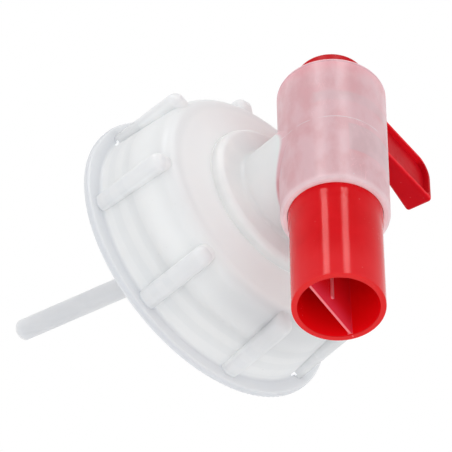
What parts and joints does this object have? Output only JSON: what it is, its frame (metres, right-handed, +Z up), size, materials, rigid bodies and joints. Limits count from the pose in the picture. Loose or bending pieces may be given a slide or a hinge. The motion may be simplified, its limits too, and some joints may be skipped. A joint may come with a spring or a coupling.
{
  "type": "water container tap",
  "caption": "Screw cap with grip ribs clamping an air-vented tap: upright turning plug with lever above, open spout below and a bent air tube behind.",
  "frame": {"origin": "on the screw cap's axis, in the plane of its rear rim", "axes": "+Y along the cap's axis back into the container, -Y towards the user, +Z up along the tap's upright axis, +X to the user's right"},
  "size_m": [0.0901, 0.1415, 0.0991],
  "materials": {
    "natural_plastic": "unpigmented, milky, satin moulded",
    "red_plastic": "glossy moulded",
    "gasket_rubber": "soft matt",
    "tube_plastic": "milky extruded tube"
  },
  "bodies": {
    "cap": {"screw_cap": "natural_plastic"},
    "tap": {"tap_body": "natural_plastic", "mouth_gasket": "gasket_rubber", "air_tube": "tube_plastic"},
    "plug": {"plug": "red_plastic", "handle": "red_plastic"}
  },
  "joints": [
    {"name": "tap_swivel", "type": "hinge", "parent": "cap", "child": "tap", "pos_m": [0, 0, 0], "axis": [0, 1, 0], "continuous": true},
    {"name": "plug_turn", "type": "hinge", "parent": "tap", "child": "plug", "pos_m": [0, -0.0507, 0], "axis": [0, 0, 1], "range_deg": [-228, 18]}
  ]
}
